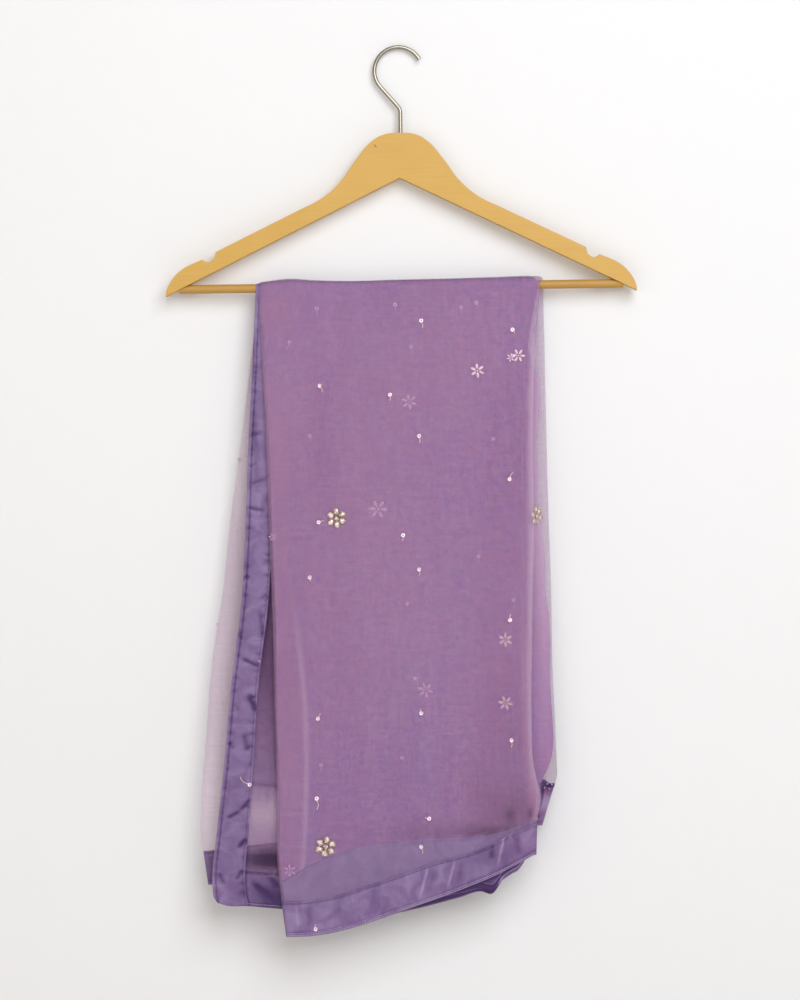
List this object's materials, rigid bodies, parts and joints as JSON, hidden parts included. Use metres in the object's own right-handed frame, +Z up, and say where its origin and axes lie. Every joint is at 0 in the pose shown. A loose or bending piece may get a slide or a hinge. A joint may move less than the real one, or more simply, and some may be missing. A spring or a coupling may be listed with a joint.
{
  "type": "dupatta stole on a clothes hanger",
  "caption": "Sheer lilac dupatta stole with violet satin borders and scattered bead flowers, folded lengthwise and hung over the bar of a wooden clothes hanger.",
  "frame": {"origin": "the inside of the hook's crown, on the wire's middle plane, where the rail carries the hanger", "axes": "+Z up, along the hook's stem; +X to the viewer's right along the bar; the front fall faces -Y"},
  "size_m": [0.4455, 0.0315, 0.8425],
  "materials": {
    "varnished_wood": "clear varnish, satin",
    "plated_wire": "nickel-plated round wire",
    "sheer_cloth": "sheer plain-weave organza",
    "satin_border": "satin weave, soft gloss"
  },
  "bodies": {
    "root": {"hanger_body": "varnished_wood", "hanger_bar": "varnished_wood", "hanger_hook": "plated_wire", "outer_layer": "sheer_cloth", "inner_layers": "sheer_cloth", "end_layer": "sheer_cloth", "end_border": "satin_border", "end_layer_hem": "satin_border", "front_hem": "satin_border", "back_hem": "satin_border", "inner_hem_front": "satin_border", "inner_hem_back": "satin_border"}
  },
  "joints": []
}
